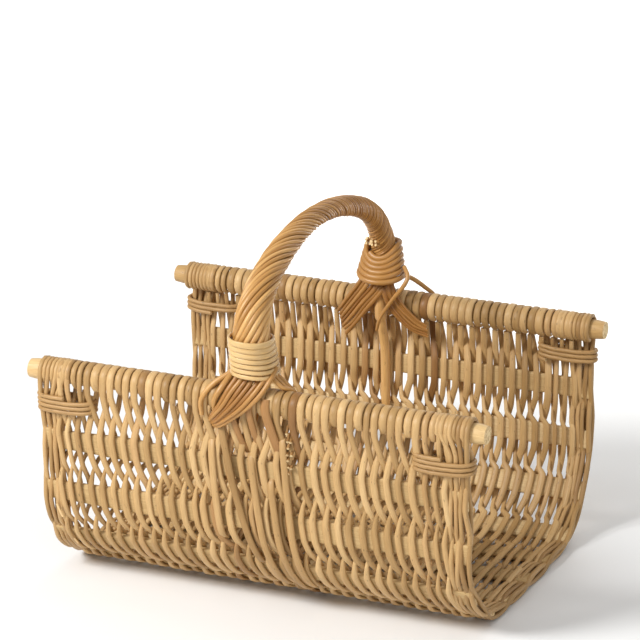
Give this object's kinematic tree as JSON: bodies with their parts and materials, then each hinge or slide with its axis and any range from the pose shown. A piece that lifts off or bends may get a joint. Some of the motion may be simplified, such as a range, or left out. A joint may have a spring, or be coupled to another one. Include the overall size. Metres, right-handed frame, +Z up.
{
  "type": "wicker log basket",
  "caption": "Open-ended U-shaped willow log basket: split-willow strands woven round eleven flat slats and two rim rods, with a roped bow handle.",
  "frame": {"origin": "on the floor plane, under the middle of the basket's bounding box", "axes": "+X along the rim rods, the basket's longest side; -Y towards the front wall; +Z up"},
  "size_m": [0.54, 0.4098, 0.4193],
  "materials": {
    "weave_willow": "matte",
    "slat_wood": "matte",
    "rod_wood": "matte",
    "handle_willow": "satin"
  },
  "bodies": {
    "root": {"back_corner_slat": "slat_wood", "back_floor_slat": "slat_wood", "back_left_lashing": "weave_willow", "back_left_tail": "handle_willow", "back_lower_corner_slat": "slat_wood", "back_middle_slat": "slat_wood", "back_right_lashing": "weave_willow", "back_right_tail": "handle_willow", "back_rim_rod": "rod_wood", "back_upper_slat": "slat_wood", "back_whipping": "handle_willow", "field_strands_01": "weave_willow", "field_strands_02": "weave_willow", "field_strands_03": "weave_willow", "field_strands_04": "weave_willow", "field_strands_05": "weave_willow", "field_strands_06": "weave_willow", "field_strands_07": "weave_willow", "field_strands_08": "weave_willow", "field_strands_09": "weave_willow", "field_strands_10": "weave_willow", "field_strands_11": "weave_willow", "field_strands_12": "weave_willow", "field_strands_13": "weave_willow", "field_strands_14": "weave_willow", "floor_middle_slat": "slat_wood", "front_corner_slat": "slat_wood", "front_floor_slat": "slat_wood", "front_left_lashing": "weave_willow", "front_left_tail": "handle_willow", "front_lower_corner_slat": "slat_wood", "front_middle_slat": "slat_wood", "front_right_lashing": "weave_willow", "front_right_tail": "handle_willow", "front_rim_rod": "rod_wood", "front_upper_slat": "slat_wood", "front_whipping": "handle_willow", "handle_bow": "handle_willow", "handle_cross_rod": "handle_willow", "handle_roping": "handle_willow", "left_edge_strands": "weave_willow", "right_edge_strands": "weave_willow"}
  },
  "joints": []
}
